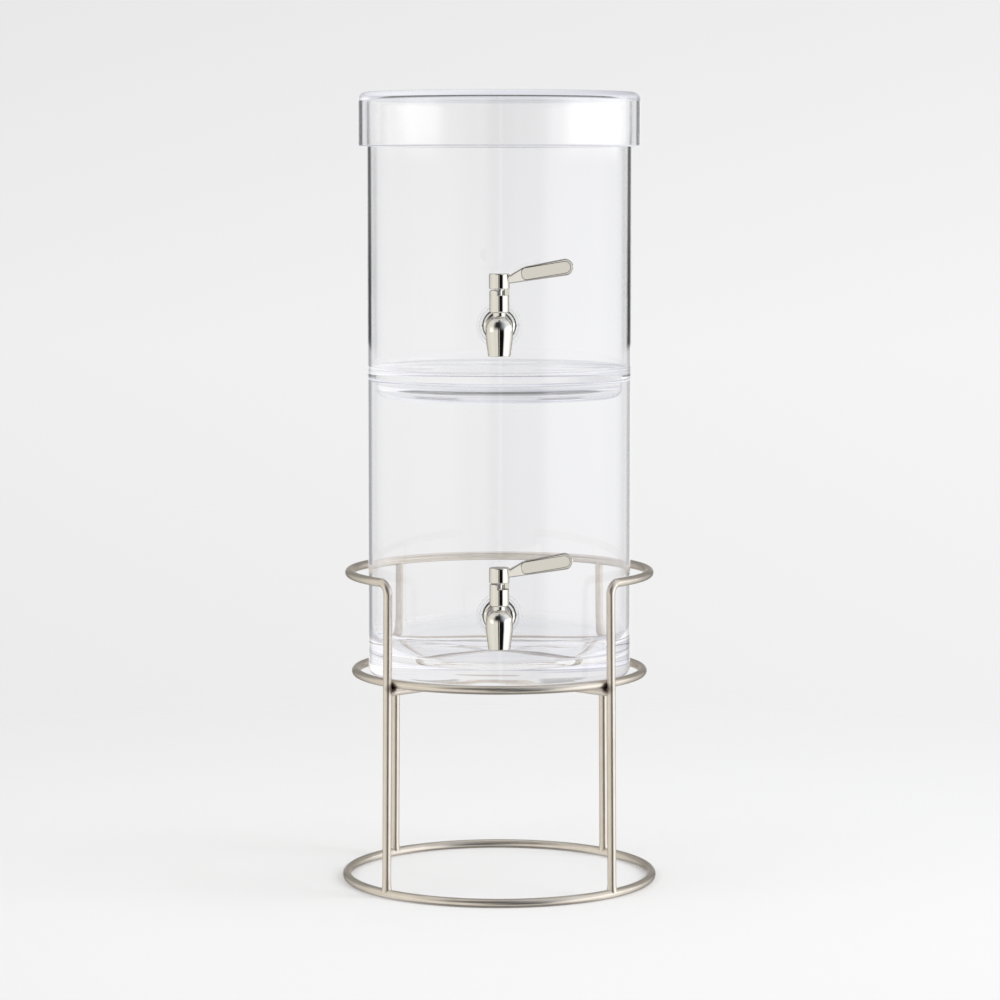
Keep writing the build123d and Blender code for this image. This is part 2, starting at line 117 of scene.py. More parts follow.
def draw(name, places, rounds, closed):
    """Extrude a vertex from place to place, close the line if asked, round corners by (radius, segments)."""
    piece = start_vertex(name, places[0])
    for start, end in zip(places, places[1:]):
        bpy.ops.mesh.extrude_vertices_move(TRANSFORM_OT_translate={"value": end - start})
    if closed:
        ends = (places[0], places[-1])
        select_places(piece, lambda co: min((co - end).length for end in ends) < MERGE_DISTANCE)
        bpy.ops.mesh.edge_face_add()
    for index, (radius, segments) in rounds.items():
        corner = places[index]
        before, after = places[index - 1], places[(index + 1) % len(places)]
        reach = radius / tan((before - corner).angle(after - corner) / 2)
        select_places(piece, lambda co: (co - corner).length < MERGE_DISTANCE)
        bpy.ops.mesh.bevel(
            offset=reach, offset_type="ABSOLUTE", segments=segments, affect="VERTICES", clamp_overlap=False
        )
    bpy.ops.mesh.select_all(action="SELECT")
    return piece


# %% Tools: close, spin, cut and copy
SPIN_STEPS = 128


def close_shell():
    """Merge doubles, cap open ends, point all faces outwards and leave edit mode."""
    bpy.ops.mesh.select_all(action="SELECT")
    bpy.ops.mesh.remove_doubles(threshold=MERGE_DISTANCE)
    bpy.ops.mesh.fill_holes(sides=0)
    bpy.ops.mesh.normals_make_consistent(inside=False)
    set_mode("OBJECT")


def extrude(step):
    """Pull what is selected on by a step."""
    bpy.ops.mesh.extrude_region_move(TRANSFORM_OT_translate={"value": step})


def spin(steps, angle, centre, axis):
    """Spin what is selected counter-clockwise about an axis; the operator itself turns the other way."""
    bpy.ops.mesh.spin(steps=steps, angle=-angle, center=centre, axis=axis)


def turn(name, section, rounds=None, centre=(0, 0, 0), axis=(0, 0, 1), closed=False, steps=SPIN_STEPS):
    """Draw a half section of (radius, height) corners and spin it about an axis."""
    centre, axis, out = Vector(centre), Vector(axis), Vector((1, 0, 0))
    places = [centre + out * radius + axis * height for radius, height in section]
    piece = draw(name, places, rounds or {}, closed)
    spin(steps, tau, centre, axis)
    close_shell()
    return piece


def plate(name, places, rounds, step):
    """Fill a closed outline and pull it to a thickness."""
    piece = draw(name, places, rounds, True)
    bpy.ops.mesh.edge_face_add()
    extrude(step)
    close_shell()
    return piece


def pick(piece):
    """Make a piece the only one selected, and the active one."""
    deselect()
    piece.select_set(True)
    bpy.context.view_layer.objects.active = piece


def apply_modifier(piece, kind, **settings):
    """Add a modifier from the menu, set it and apply it."""
    pick(piece)
    bpy.ops.object.modifier_add(type=kind)
    modifier = piece.modifiers[-1]
    for key, value in settings.items():
        setattr(modifier, key, value)
    bpy.ops.object.modifier_apply(modifier=modifier.name)


def copy_of(piece, name):
    """Duplicate a piece with a mesh of its own."""
    pick(piece)
    bpy.ops.object.duplicate()
    twin = bpy.context.object
    twin.name = name
    return twin


def combine(piece, other, operation, keep_other=False):
    """Cut a closed shell by another, join the two or keep what they share, and merge doubles."""
    tool = copy_of(other, "tool") if keep_other else other
    apply_modifier(piece, "BOOLEAN", object=tool, operation=operation, solver="EXACT")
    bpy.data.objects.remove(tool)
    set_mode("EDIT")
    bpy.ops.mesh.select_all(action="SELECT")
    bpy.ops.mesh.remove_doubles(threshold=MERGE_DISTANCE)
    set_mode("OBJECT")


def drill(piece, radius, start, end, centre, axis, steps):
    """Cut a round hole in a piece with a turned plug."""
    section = [(0, start), (radius, start), (radius, end), (0, end)]
    combine(piece, turn("plug", section, None, centre, axis, steps=steps), "DIFFERENCE")


# %% Tools: finish a piece
SMOOTH_ANGLE = radians(35)


def settle(piece, finishes, body, slot, node):
    """Smooth a piece, give it its finishes, let it ride on a body and stand for its solid."""
    pick(piece)
    bpy.ops.object.shade_smooth_by_angle(angle=SMOOTH_ANGLE)
    apply_modifier(piece, "WEIGHTED_NORMAL", mode="FACE_AREA", weight=75, keep_sharp=True)
    piece.data.materials.clear()
    for finish in finishes:
        piece.data.materials.append(finish)
    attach(piece, body)
    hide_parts(node)
    print(piece.name, "has", len(piece.data.polygons), "faces and stands for", node)


# %% [markdown]
# ## Clear glass
#
# The vessels and the cap are clear soda glass, blown or pressed in a mould. Such glass is never quite
# even: its faces swell and dip by a hair over a few centimetres, which makes soft streaks in what it
# bends and reflects. Sloping, thick stretches look a little blue, and edges look dark, because the light
# there comes from far to the side. The shader is plain glass with a faint bump, stronger on the level faces
# of the bases. A layer weight tints it where it turns away from the eye. Light that has bounced many times
# goes straight on, and so do shadow rays, so the table stays bright.

# %% Tools: build a finish from nodes
def node_maker(tree):
    """A function that adds a node to a tree, sets or links its inputs, and gives one of its outputs."""

    def add(kind, inputs=None, output=0, **settings):
        node = tree.nodes.new("ShaderNode" + kind)
        for key, value in settings.items():
            setattr(node, key, value)
        for key, value in (inputs or {}).items():
            if isinstance(value, bpy.types.NodeSocket):
                tree.links.new(value, node.inputs[key])
            else:
                node.inputs[key].default_value = value
        return node.outputs[output]

    return add


def new_finish(name):
    """A material, its shader, functions that add a node and link to the shader, and the place on a piece."""
    finish = bpy.data.materials.new(name)
    finish.use_nodes = True
    tree = finish.node_tree
    shader = tree.nodes["Principled BSDF"]
    add = node_maker(tree)

    def link(output, socket):
        tree.links.new(output, shader.inputs[socket])

    return finish, shader, add, link, add("TexCoord", output="Object")


def ramp(add, factor, steps):
    """A colour ramp through (position, colour) steps."""
    colours = add("ValToRGB", {"Fac": factor})
    elements = colours.node.color_ramp.elements
    while len(elements) < len(steps):
        elements.new(1.0)
    for element, (position, colour) in zip(elements, steps):
        element.position = position
        element.color = (*colour, 1)
    return colours


def noise(add, place, scale, detail):
    return add("TexNoise", {"Vector": place, "Scale": scale, "Detail": detail})


def maths(add, operation, *values):
    return add("Math", dict(enumerate(values)), operation=operation)


def spread(add, value, low, high, start=0, end=1, **settings):
    """Map a value that runs from start to end onto low to high."""
    limits = {"From Min": start, "From Max": end, "To Min": low, "To Max": high}
    return add("MapRange", {"Value": value, **limits}, **settings)


def mix(add, factor, first, second, how="MIX"):
    return add("MixRGB", {"Fac": factor, "Color1": first, "Color2": second}, blend_type=how)


# %% Clear glass
base_limit = 0.45
most_bounces = 9.5
most_mirrorings = 2.5


def make_vessel_glass():
    finish, shader, add, link, place = new_finish("vessel_glass")
    stretched = add("Mapping", {"Vector": place, "Scale": (9, 9, 2)})
    walls = add("Bump", {"Strength": 0.03, "Distance": 0.02, "Height": noise(add, stretched, 1.0, 1.0)})
    lean = add("SeparateXYZ", {"Vector": add("NewGeometry", output="Normal")}, "Z")
    lean = maths(add, "ABSOLUTE", lean)
    level = spread(add, lean, 0, 1, 0.6, 0.95)
    ripple = maths(add, "MULTIPLY", noise(add, place, 15.0, 1.0), level)
    height = add("SeparateXYZ", {"Vector": place}, "Z")
    ripple = maths(add, "MULTIPLY", ripple, maths(add, "LESS_THAN", height, base_limit))
    link(add("Bump", {"Strength": 0.14, "Distance": 0.02, "Height": ripple, "Normal": walls}), "Normal")
    clear, thick = (1.0, 1.0, 1.0), (0.82, 0.83, 0.87)
    turned_away = add("LayerWeight", {"Blend": 0.5}, "Facing")
    edge = ramp(add, turned_away, [(0.5, clear), (0.9, (0.95, 0.955, 0.96)), (1.0, (0.9, 0.91, 0.92))])
    bend = ramp(add, lean, [(0.06, clear), (0.3, thick), (0.7, thick), (0.95, clear)])
    link(mix(add, 1.0, edge, bend, "MULTIPLY"), "Base Color")
    shader.inputs["Roughness"].default_value = 0.0
    shader.inputs["IOR"].default_value = 1.5
    shader.inputs["Transmission Weight"].default_value = 1.0
    path = add("LightPath").node.outputs
    gone = add("BsdfTransparent")
    surface = shader.outputs["BSDF"]
    far = maths(add, "GREATER_THAN", path["Ray Depth"], most_bounces)
    deep = maths(add, "GREATER_THAN", path["Glossy Depth"], most_mirrorings)
    for share in (maths(add, "MAXIMUM", far, deep), path["Is Diffuse Ray"], path["Is Shadow Ray"]):
        surface = add("MixShader", {"Fac": share, 1: surface, 2: gone})
    output = finish.node_tree.nodes["Material Output"]
    finish.node_tree.links.new(surface, output.inputs["Surface"])
    return finish


vessel_glass = make_vessel_glass()
print("finish", vessel_glass.name)

# %% [markdown]
# ## The lower vessel
#
# It is a plain cylinder with a thick base that is hollowed a little below, as most moulded glass is, so
# that it stands on its rim. Inside, the thin wall swells to a soft heel before it meets the floor. Its
# half section is drawn from the hollow out to the rim and back to the axis, and spun. Two extra points on
# each face of the wall keep the cut for the tap inside a short band, because a cut makes odd faces out of
# every face that it touches.

# %% Sizes of the vessels
GLASS_STEPS = 192
PUNT_STEPS = 8
vessel_wall = 2.4 * MM
punt_depth = 1.6 * MM
punt_margin = 6.0 * MM
rim_outer_round = 1.1 * MM
rim_inner_round = 0.7 * MM
lower_tap_height = 54.6 * MM
upper_tap_height = 56.6 * MM
hole_radius = 8.5 * MM
hole_band = 16.0 * MM

lower_low, lower_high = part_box("lower_vessel")
vessel_radius = lower_high.x
vessel_bore = vessel_radius - vessel_wall
lower_shank = lower_low.z + lower_tap_height


def punt(radius, bottom):
    """Half of the shallow hollow under a base, from the axis out: a few points of one wide arc."""
    sphere = (radius**2 + punt_depth**2) / (2 * punt_depth)
    angles = [asin(radius / sphere) * step / PUNT_STEPS for step in range(PUNT_STEPS + 1)]
    return [(sphere * sin(angle), bottom + punt_depth - sphere * (1 - cos(angle))) for angle in angles]


def wall(shank, rim):
    """Half section of a wall, up its outside and down its inside, with points round the tap's hole."""
    return [
        (vessel_radius, shank - hole_band),
        (vessel_radius, shank + hole_band),
        (vessel_radius, rim),
        (vessel_bore, rim),
        (vessel_bore, shank + hole_band),
        (vessel_bore, shank - hole_band),
    ]


def bore_hole(glass, level):
    """Drill the round hole for a tap's shank through the front wall."""
    deselect()
    bpy.ops.mesh.primitive_cylinder_add(
        vertices=64,
        radius=hole_radius,
        depth=8 * vessel_wall,
        location=(0, -vessel_radius, level),
        rotation=(pi / 2, 0, 0),
    )
    combine(glass, bpy.context.object, "DIFFERENCE")


# %% Lower vessel
lower_base = 14.0 * MM
lower_bottom_round = 5.0 * MM
heel_width = 14.0 * MM
heel_height = 22.0 * MM
lower_floor = lower_low.z + lower_base
HEEL_STEPS = 16
heel_turns = [pi / 2 * step / HEEL_STEPS for step in range(HEEL_STEPS + 1)]
heel = [
    (vessel_bore - heel_width * (1 - cos(angle)), lower_floor + heel_height * (1 - sin(angle)))
    for angle in heel_turns
]
section = punt(vessel_radius - lower_bottom_round - punt_margin, lower_low.z)
edge = len(section)
section += [(vessel_radius, lower_low.z), *wall(lower_shank, lower_high.z), *heel, (0, lower_floor)]
lower_rounds = {
    edge: (lower_bottom_round, 10),
    edge + 3: (rim_outer_round, 6),
    edge + 4: (rim_inner_round, 4),
}
lower_glass = turn("lower_vessel_glass", section, lower_rounds, steps=GLASS_STEPS)
bore_hole(lower_glass, lower_shank)
settle(lower_glass, [vessel_glass], "lower_vessel", "clear_glass", "lower_vessel")

# %% [markdown]
# ## The upper vessel
#
# It is the same cylinder on a foot that is stepped in, so that it drops into the rim of the one below.
# The foot is solid glass and thick, and its round edges bend the light into bright and dark streaks.

# %% Upper vessel
foot_clearance = 4.0 * MM
foot_bottom_round = 7.0 * MM
foot_root_round = 1.2 * MM
upper_floor_round = 3.0 * MM
shoulder_round = 1.2 * MM
upper_web = 6.7 * MM
rest_gap = 0.2 * MM

upper_low, upper_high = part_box("upper_vessel")
upper_shank = upper_low.z + upper_tap_height
shoulder = lower_high.z + rest_gap
foot_radius = vessel_bore - foot_clearance
upper_floor = shoulder + upper_web
section = punt(foot_radius - foot_bottom_round - punt_margin, upper_low.z)
edge = len(section)
section += [
    (foot_radius, upper_low.z),
    (foot_radius, shoulder),
    (vessel_radius, shoulder),
    *wall(upper_shank, upper_high.z),
    (vessel_bore, upper_floor),
    (0, upper_floor),
]
upper_rounds = {
    edge: (foot_bottom_round, 12),
    edge + 1: (foot_root_round, 5),
    edge + 2: (shoulder_round, 8),
    edge + 5: (rim_outer_round, 6),
    edge + 6: (rim_inner_round, 4),
    edge + 9: (upper_floor_round, 8),
}
upper_glass = turn("upper_vessel_glass", section, upper_rounds, steps=GLASS_STEPS)
bore_hole(upper_glass, upper_shank)
settle(upper_glass, [vessel_glass], "upper_vessel", "clear_glass", "upper_vessel")

# %% [markdown]
# ## The cap
#
# The cap is a flat disc with a skirt that hangs outside the rim of the upper vessel. Its top edge is
# well rounded, and the lip of the skirt is fire-polished.

# %% Cap
lid_wall = 3.0 * MM
lid_top = 4.0 * MM
lid_outer_round = 5.0 * MM
lid_inner_round = 2.5 * MM
lid_lip_round = 1.0 * MM

lid_low, lid_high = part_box("lid")
lid_radius = lid_high.x
lid_bore = lid_radius - lid_wall
lid_underside = lid_high.z - lid_top
section = [
    (0, lid_underside),
    (lid_bore, lid_underside),
    (lid_bore, lid_low.z),
    (lid_radius, lid_low.z),
    (lid_radius, lid_high.z),
    (0, lid_high.z),
]
lid_rounds = {
    1: (lid_inner_round, 6),
    2: (lid_lip_round, 5),
    3: (lid_lip_round, 5),
    4: (lid_outer_round, 10),
}
lid_glass = turn("lid_glass", section, lid_rounds, steps=GLASS_STEPS)
settle(lid_glass, [vessel_glass], "lid", "clear_glass", "lid")

# %% [markdown]
# ## The rings and the hoop of the stand
#
# All of the stand is one size of rod. Each piece starts as a circle, the section of the rod. Spun about
# the stand's axis it makes a ring. The hoop is bent from one long rod: up a front leg, a bend, round the
# back, a bend and down the other front leg. Its circle is extruded and spun along the same way.

# %% Base ring and seat ring
ROD_SIDES = 28
RING_STEPS = 192
rod_radius = 3.175 * MM
base_ring_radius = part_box("base_ring")[1].x - rod_radius
seat_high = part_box("seat_ring")[1]
seat_ring_radius = seat_high.x - rod_radius
seat_ring_level = seat_high.z - rod_radius


def rod_section(name, centre, axis):
    """A circle of vertices across a rod, in edit mode and selected."""
    deselect()
    turned = Vector((0, 0, 1)).rotation_difference(Vector(axis)).to_euler()
    bpy.ops.mesh.primitive_circle_add(
        vertices=ROD_SIDES, radius=rod_radius, location=centre, rotation=turned
    )
    piece = bpy.context.object
    piece.name = name
    bpy.ops.object.transform_apply(location=True, rotation=True, scale=True)
    set_mode("EDIT")
    bpy.ops.mesh.select_mode(type="EDGE")
    bpy.ops.mesh.select_all(action="SELECT")
    return piece


def wire_ring(name, radius, level):
    ring = rod_section(name, (radius, 0, level), (0, 1, 0))
    spin(RING_STEPS, tau, (0, 0, 0), (0, 0, 1))
    close_shell()
    return ring


base_ring = wire_ring("base_ring_wire", base_ring_radius, rod_radius)
seat_ring = wire_ring("seat_ring_wire", seat_ring_radius, seat_ring_level)
print("rings of", round(base_ring_radius, 4), "and", round(seat_ring_radius, 4), "m")

# %% Front hoop
BEND_STEPS = 14
HOOP_STEPS = 150
front_leg_angle = radians(46)
leg_splay = 0.0095
weld_sink = 0.6 * MM
bend_reach = 8.5 * MM
bead_height = 5.2 * MM
bead_swell = 1.22
stand_radius = seat_ring_radius + 2 * rod_radius - weld_sink
hoop_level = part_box("front_hoop")[1].z - rod_radius
saddle_lift = 0.35 * rod_radius
leg_foot = rod_radius + saddle_lift


def on_leg(x_side, y_side, angle, level):
    """The point at a level on the axis of a leg, which leans outward to the table."""
    reach = stand_radius + leg_splay * (seat_ring_level - level)
    return Vector((x_side * reach * sin(angle), y_side * reach * cos(angle), level))


def bend_rod(start, heading, turned):
    """Spin the rod's open end round a bend, from one heading to another."""
    axis = heading.cross(turned).normalized()
    angle = heading.angle(turned)
    radius = bend_reach / tan(angle / 2)
    spin(BEND_STEPS, angle, start + axis.cross(heading) * radius, axis)


def swell_foot(leg, foot):
    """Widen the lowest circle of a leg to the weld bead that joins it to the base ring."""
    pick(leg)
    set_mode("EDIT")
    select_places(leg, lambda co: (co - foot).length < rod_radius + MERGE_DISTANCE)
    bpy.ops.transform.resize(value=(bead_swell, bead_swell, 1), center_override=foot)
    set_mode("OBJECT")


feet = {side: on_leg(side, -1, front_leg_angle, leg_foot) for side in (-1, 1)}
corners = {side: on_leg(side, -1, front_leg_angle, hoop_level) for side in (-1, 1)}
hoop_radius = sqrt(corners[1].xy.length_squared - bend_reach**2)
hoop_end = front_leg_angle + atan2(bend_reach, hoop_radius)
ends = {side: Vector((side * sin(hoop_end), -cos(hoop_end), 0)) * hoop_radius for side in (-1, 1)}
for end in ends.values():
    end.z = hoop_level
up = (corners[-1] - feet[-1]).normalized()
down = (feet[1] - corners[1]).normalized()
straight = (corners[1] - feet[1]).length - bend_reach - bead_height

hoop = rod_section("front_hoop_wire", feet[-1], up)
extrude(up * bead_height)
extrude(up * straight)
bend_rod(corners[-1] - up * bend_reach, up, (ends[-1] - corners[-1]).normalized())
spin(HOOP_STEPS, tau - 2 * hoop_end, (0, 0, 0), (0, 0, -1))
bend_rod(ends[1], (corners[1] - ends[1]).normalized(), down)
extrude(down * straight)
extrude(down * bead_height)
close_shell()
for foot in feet.values():
    swell_foot(hoop, foot)
combine(hoop, base_ring, "DIFFERENCE", keep_other=True)
combine(hoop, seat_ring, "DIFFERENCE", keep_other=True)

# %% [markdown]
# ## The straight rods
#
# Two back legs run from the base ring to the underside of the hoop, and an X of bars under the seat ring
# carries the glass. On the real stand each end is coped, so that it sits on its neighbour like a saddle.
# The same cut is made here with a Boolean by the neighbour itself.

# %% Back legs and cross bars
bar_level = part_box("cross_bar")[1].z - rod_radius
back_leg_angle = radians(45)


def straight_rod(name, start, end, neighbours, bead=0.0):
    """A rod between two points, with a weld bead at its start, coped where it meets its neighbours."""
    heading = (end - start).normalized()
    rod = rod_section(name, start, heading)
    if bead:
        extrude(heading * bead)
    extrude(heading * ((end - start).length - bead))
    close_shell()
    if bead:
        swell_foot(rod, start)
    for neighbour in neighbours:
        combine(rod, neighbour, "DIFFERENCE", keep_other=True)
    return rod


back_legs = {}
for side, side_name in ((-1, "left"), (1, "right")):
    foot = on_leg(side, 1, back_leg_angle, leg_foot)
    top = on_leg(side, 1, back_leg_angle, hoop_level - saddle_lift)
    rings = (base_ring, seat_ring, hoop)
    back_legs[side] = straight_rod(f"back_leg_{side_name}_wire", foot, top, rings, bead_height)

legs = (seat_ring, hoop, back_legs[-1], back_legs[1])
front_end = on_leg(1, -1, front_leg_angle, bar_level)
back_end = on_leg(-1, 1, back_leg_angle, bar_level)
across = (front_end - back_end).normalized()
crossing = back_end - across * (back_end.x / across.x)
bar_ends = {-1: back_end + across * saddle_lift, 1: front_end - across * saddle_lift}
mirrored = Vector((-1, 1, 1))
cross_bar = straight_rod("cross_bar_wire", bar_ends[1] * mirrored, bar_ends[-1] * mirrored, legs)
half_bars = {}
for side, side_name in ((-1, "left"), (1, "right")):
    start = crossing + across * (side * saddle_lift)
    name = f"cross_bar_{side_name}_half_wire"
    half_bars[side] = straight_rod(name, start, bar_ends[side], (cross_bar, *legs))

# %% [markdown]
# ## Satin wire
#
# The stand is steel wire, welded and then plated with a warm, satin nickel. Plating follows the drawn
# surface of the wire, so it is even, with a very fine grain and small clouds in its gloss. Noise at two
# scales moves the colour and the roughness a little, and a fine bump breaks the highlights. The colour
# turns dark brown close to where the seat ring meets the legs. Faces that look down get a darker
# colour, which is a painted shade under the wire.

# %% Satin wire
weld_place = (stand_radius + seat_ring_radius) / 2 * sin((front_leg_angle + back_leg_angle) / 2)
weld_level = (seat_ring_level + bar_level) / 2
weld_reach = (2.6 * MM, 5.6 * MM)


def make_satin_wire():
    finish, shader, add, link, place = new_finish("satin_wire")
    cloud, grain = noise(add, place, 70.0, 3.0), noise(add, place, 2600.0, 2.0)
    plating = ramp(add, cloud, [(0.3, (0.74, 0.68, 0.6)), (0.7, (0.8, 0.745, 0.665))])
    # Close to the joints of the seat ring and the legs, in all four quarters, the colour turns dark brown.
    quarter = add("VectorMath", {0: place}, operation="ABSOLUTE")
    weld = (weld_place, weld_place, weld_level)
    away = add("VectorMath", {0: quarter, 1: weld}, "Value", operation="DISTANCE")
    darkened_near_welds = maths(add, "MULTIPLY", spread(add, away, 0, 1, weld_reach[1], weld_reach[0]), 0.9)
    shade = mix(add, darkened_near_welds, plating, (0.10, 0.07, 0.05, 1))
    # Painted shade: faces that look down get a darker colour, as if they lay in the shadow under the wire.
    facing = add("SeparateXYZ", {"Vector": add("NewGeometry", output="Normal")}, "Z")
    below = spread(add, facing, 0, 0.7, -0.7, -1.0)
    link(mix(add, below, shade, (0.16, 0.14, 0.12, 1)), "Base Color")
    link(spread(add, grain, 0.26, 0.34), "Roughness")
    link(add("Bump", {"Strength": 0.05, "Distance": 0.0002, "Height": grain}), "Normal")
    shader.inputs["Metallic"].default_value = 0.93
    shader.inputs["Specular Tint"].default_value = (0.7, 0.68, 0.65, 1)
    return finish


satin_wire = make_satin_wire()
print("finish", satin_wire.name)

# %% Finish the stand
for wire, node in (
    (base_ring, "base_ring"),
    (seat_ring, "seat_ring"),
    (hoop, "front_hoop"),
    (back_legs[-1], "back_leg_left"),
    (back_legs[1], "back_leg_right"),
    (cross_bar, "cross_bar"),
    (half_bars[-1], "cross_bar_left_half"),
    (half_bars[1], "cross_bar_right_half"),
):
    settle(wire, [satin_wire], "stand", "stand_wire", node)

# %% [markdown]
# ## Polished nickel
#
# The taps are cast metal, polished to a mirror and plated with nickel, which is a little warmer than
# chrome. What shows on a mirror is the room, so the finish itself stays quiet: a slight drift of colour
# and the haze that fingers and wiping leave. A dark copy of it on the walls round the lever's sunk panel
# is a painted shade in the recess.

# %% Polished nickel and the panel of the lever
def make_mottled(name, stretch, scale, detail, colours, rough, values):
    """A finish whose colour and roughness drift with one noise; other values are plain sockets."""
    finish, shader, add, link, place = new_finish(name)
    drift = noise(add, add("Mapping", {"Vector": place, "Scale": stretch}), scale, detail)
    link(ramp(add, drift, colours), "Base Color")
    link(spread(add, drift, *rough), "Roughness")
    for socket, value in values.items():
        shader.inputs[socket].default_value = value
    return finish


def make_polished_nickel(name, tone, rough, stretch):
    pale = tuple(channel * 1.03 for channel in tone)
    mirror = {"Metallic": 1.0, "Specular Tint": (0.45, 0.43, 0.4, 1)}
    return make_mottled(name, stretch, 90.0, 3.0, [(0.3, tone), (0.7, pale)], rough, mirror)


polished_nickel = make_polished_nickel("polished_nickel", (0.83, 0.81, 0.76), (0.02, 0.05), (1, 1, 1))
panel_nickel = make_polished_nickel("panel_nickel", (0.73, 0.705, 0.65), (0.03, 0.06), (1, 30, 30))
# A dark copy for the walls round the lever's sunk panel: a painted shade in the recess.
recess_shade_nickel = make_polished_nickel("recess_shade_nickel", (0.33, 0.32, 0.29), (0.1, 0.2), (1, 1, 1))
print("finishes", polished_nickel.name, panel_nickel.name, recess_shade_nickel.name)

# %% [markdown]
# ## The tap body
#
# Spout, valve tube and shank are one casting. The spout is turned: it tapers down to its mouth from a
# long belly, and domes in to a short neck under the valve tube. The shank is turned too, about a level
# axis, with a flange that presses on the gasket and a threaded tail. The two are joined, and then the
# bores and the notch that stops the lever are cut.

# %% Tap body: sizes and the curves of the spout
tap_reach = 25.5 * MM
spout_drop = 20.5 * MM
spout_end_radius = 7.8 * MM
spout_radius = 9.35 * MM
belly_drop = 9.0 * MM
belly_radius = 9.25 * MM
belly_top = 1.5 * MM
spout_lip_round = 0.6 * MM
outlet_radius = 5.9 * MM
dome_top = 7.3 * MM
neck_radius = 4.6 * MM
neck_cove = 1.4 * MM
tube_bottom = 10.2 * MM
tube_top = 26.1 * MM
tube_radius = 6.9 * MM
tube_round = 1.3 * MM
tube_lip_round = 1.0 * MM
tap_axis = Vector((0, -vessel_radius - tap_reach, lower_shank))


def tangent_arc(start, heading, end, steps):
    """Points of the arc that leaves a start along a heading and curves left to an end; its last heading."""
    start, end, heading = Vector(start), Vector(end), Vector(heading).normalized()
    normal = Vector((-heading.y, heading.x))
    chord = end - start
    radius = chord.length_squared / (2 * normal.dot(chord))
    centre = start + normal * radius
    first = atan2(start.y - centre.y, start.x - centre.x)
    last = atan2(end.y - centre.y, end.x - centre.x)
    angles = [first + (last - first) * step / steps for step in range(steps + 1)]
    places = [(centre.x + radius * cos(angle), centre.y + radius * sin(angle)) for angle in angles]
    return places, chord * (2 * heading.dot(chord) / chord.length_squared) - heading


taper = (spout_radius - spout_end_radius, spout_drop - belly_drop)
belly, tucked = tangent_arc((spout_radius, -belly_drop), taper, (belly_radius, belly_top), 12)
dome, _ = tangent_arc(belly[-1], tucked, (neck_radius, dome_top), 14)
print("belly of", len(belly), "points, dome of", len(dome))

# %% Tap body: spout and valve tube
section = [(0, -spout_drop), (spout_end_radius, -spout_drop), *belly, *dome[1:-3], dome[-1]]
neck = len(section)
section += [
    (neck_radius, tube_bottom),
    (tube_radius, tube_bottom),
    (tube_radius, tube_top),
    (0, tube_top),
]
spout_rounds = {
    1: (spout_lip_round, 4),
    neck - 1: (neck_cove, 6),
    neck + 1: (tube_round, 6),
    neck + 2: (tube_lip_round, 5),
}
tap_body = turn("lower_tap_body_metal", section, spout_rounds, tap_axis)

# %% Tap body: flange and threaded shank
shank_radius = 7.9 * MM
barrel_radius = 8.2 * MM
flange_radius = 11.3 * MM
flange_round = 2.4 * MM
front_gasket_thickness = 1.8 * MM
flange_thickness = 3.0 * MM
rear_gasket_thickness = 2.4 * MM
washer_thickness = 1.5 * MM
nut_thickness = 7.0 * MM
shank_tail = 2.2 * MM
thread_pitch = 0.7 * MM
thread_depth = 0.35 * MM
flange_back = vessel_radius + front_gasket_thickness
flange_front = flange_back + flange_thickness
rear_seat = vessel_bore - rear_gasket_thickness
nut_seat = rear_seat - washer_thickness
nut_end = nut_seat - nut_thickness
shank_end = nut_end - shank_tail
shank_centre = Vector((0, 0, lower_shank))
forward = (0, -1, 0)

section = [
    (0, -tap_axis.y),
    (barrel_radius, -tap_axis.y),
    (barrel_radius, flange_front),
    (flange_radius, flange_front),
    (flange_radius, flange_back),
    (shank_radius, flange_back),
]
for ridge in range(3):
    crest = nut_end - ridge * thread_pitch
    section += [(shank_radius, crest), (shank_radius - thread_depth, crest - thread_pitch / 2)]
section += [(shank_radius - 2 * thread_depth, shank_end), (0, shank_end)]
shank = turn("shank", section, {3: (flange_round, 8)}, shank_centre, forward)
combine(tap_body, shank, "UNION")
print("tap body joined,", len(tap_body.data.polygons), "faces")

# %% Tap body: bores and notch
shank_bore_radius = 3.4 * MM
chamber_radius = 3.85 * MM
chamber_floor = -8.1 * MM
notch_depth = 3.8 * MM
hub_overhang = 0.3 * MM
overcut = 1.0 * MM
SECTOR_STEPS = 24
BORE_STEPS = 64
lug_half_angle = radians(12)
lug_clearance = radians(1.5)
lever_turn = radians(90)


def sector(name, inner, outer, low, high, start_angle, size):
    """A piece of a ring about the tap's axis: its square section, spun over part of a turn."""
    out = Vector((cos(start_angle), sin(start_angle), 0))
    up = Vector((0, 0, 1))
    corners = ((inner, low), (outer, low), (outer, high), (inner, high))
    piece = draw(name, [tap_axis + out * radius + up * level for radius, level in corners], {}, True)
    spin(SECTOR_STEPS, size, tap_axis, up)
    close_shell()
    return piece


section = [
    (0, -spout_drop - overcut),
    (outlet_radius, -spout_drop - overcut),
    (outlet_radius, chamber_floor),
    (chamber_radius, chamber_floor),
    (chamber_radius, tube_top + overcut),
    (0, tube_top + overcut),
]
combine(tap_body, turn("chamber", section, None, tap_axis, steps=BORE_STEPS), "DIFFERENCE")
drill(tap_body, shank_bore_radius, -tap_axis.y, shank_end - overcut, shank_centre, forward, BORE_STEPS)
notch_start = -lever_turn - lug_half_angle - lug_clearance
notch_size = lever_turn + 2 * (lug_half_angle + lug_clearance)
notch_inner, notch_outer = chamber_radius / 2, tube_radius + hub_overhang
notch_floor = tube_top - notch_depth
notch = sector("notch", notch_inner, notch_outer, notch_floor, tube_top + overcut, notch_start, notch_size)
combine(tap_body, notch, "DIFFERENCE")
print("tap body bored,", len(tap_body.data.polygons), "faces")

# %% [markdown]
# ## The lever
#
# A flat paddle rises from a round hub on the valve's stem. The paddle starts as a line of vertices that is
# filled, pulled to its thickness and bevelled all round. A shallow panel is sunk into its front face. A
# lug under the hub hangs in the notch of the tube and stops the lever after a quarter turn.

